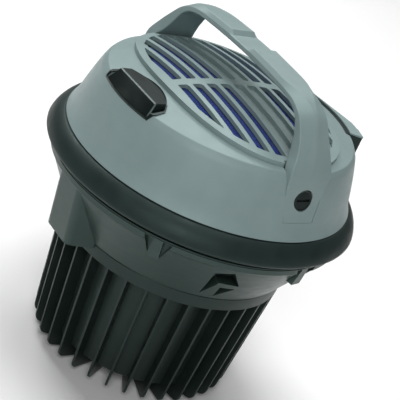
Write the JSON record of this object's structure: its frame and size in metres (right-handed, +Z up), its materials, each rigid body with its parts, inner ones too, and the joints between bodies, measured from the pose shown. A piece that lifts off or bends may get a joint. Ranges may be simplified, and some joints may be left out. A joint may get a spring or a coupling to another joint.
{
  "type": "power filter motor head",
  "caption": "Lift-out motor head of a tub power filter: domed cover with slotted grille, carry handle, push button, bulge seal and a ribbed intake basket.",
  "frame": {"origin": "under the middle of the ribbed basket, on the surface the head stands on", "axes": "+Z up the motor axis, +X along the carry handle, -Y towards the push button, +Y towards the cord inlet"},
  "size_m": [0.3304, 0.3304, 0.3688],
  "materials": {
    "cover_plastic": "satin",
    "black_plastic": "satin",
    "collar_plastic": "matte",
    "inner_plastic": "matte",
    "seal_rubber": "matte",
    "blue_foam": "open cell",
    "grey_foam": "open cell",
    "plated_steel": "satin",
    "bearing_steel": "polished",
    "spring_steel": "bright",
    "lamination_steel": "matte",
    "fan_aluminium": "satin",
    "copper": "lacquered",
    "carbon": "matte"
  },
  "bodies": {
    "head": {"top_cover": "cover_plastic", "grille_panel": "cover_plastic", "exhaust_foam": "blue_foam", "foam_tray": "inner_plastic", "carry_handle": "cover_plastic", "handle_anchors": "inner_plastic", "button_bezel": "black_plastic", "switch_body": "inner_plastic", "button_spring": "spring_steel", "inlet_visor": "cover_plastic", "cord_inlet": "black_plastic", "cord_gland": "seal_rubber", "rim_seal": "seal_rubber", "base_collar": "collar_plastic", "cover_screws": "plated_steel", "inlet_screen": "collar_plastic", "lower_motor_gasket": "seal_rubber", "fan_can": "plated_steel", "fan_diffuser": "fan_aluminium", "fan_end_bracket": "fan_aluminium", "lower_bearing": "bearing_steel", "upper_bearing": "bearing_steel", "motor_frame": "plated_steel", "commutator_end_bracket": "plated_steel", "stator_core": "lamination_steel", "field_coils": "copper", "brush_holders": "copper", "carbon_brushes": "carbon", "motor_cap": "inner_plastic", "upper_motor_seal": "seal_rubber", "motor_carrier": "inner_plastic", "sound_sleeve": "grey_foam"},
    "rotor": {"motor_shaft": "bearing_steel", "armature_core": "lamination_steel", "armature_windings": "copper", "commutator": "copper", "suction_impeller": "fan_aluminium", "cooling_fan": "inner_plastic"},
    "basket": {"intake_basket": "collar_plastic", "intake_filter": "grey_foam"},
    "button": {"push_button": "black_plastic"},
    "screw_right": {"coin_screw_right": "black_plastic"},
    "screw_left": {"coin_screw_left": "black_plastic"}
  },
  "joints": [
    {"name": "button_press", "type": "slide", "parent": "head", "child": "button", "axis": [0, 0, -1], "range_m": [0, 0.004], "stiffness_N_per_m": 400, "springref_m": -0.002, "deforming": ["button_spring"]},
    {"name": "rotor_spin", "type": "hinge", "parent": "head", "child": "rotor", "pos_m": [0, 0, 0.233], "axis": [0, 0, 1], "continuous": true},
    {"name": "basket_twist", "type": "hinge", "parent": "head", "child": "basket", "pos_m": [0, 0, 0.14], "axis": [0, 0, 1], "range_deg": [0, 14]},
    {"name": "coin_screw_right_turn", "type": "hinge", "parent": "head", "child": "screw_right", "pos_m": [0.1386, 0, 0.2814], "axis": [0.9703, 0, 0.2419], "range_deg": [0, 90]},
    {"name": "coin_screw_left_turn", "type": "hinge", "parent": "head", "child": "screw_left", "pos_m": [-0.1386, 0, 0.2814], "axis": [-0.9703, 0, 0.2419], "range_deg": [0, 90]}
  ]
}
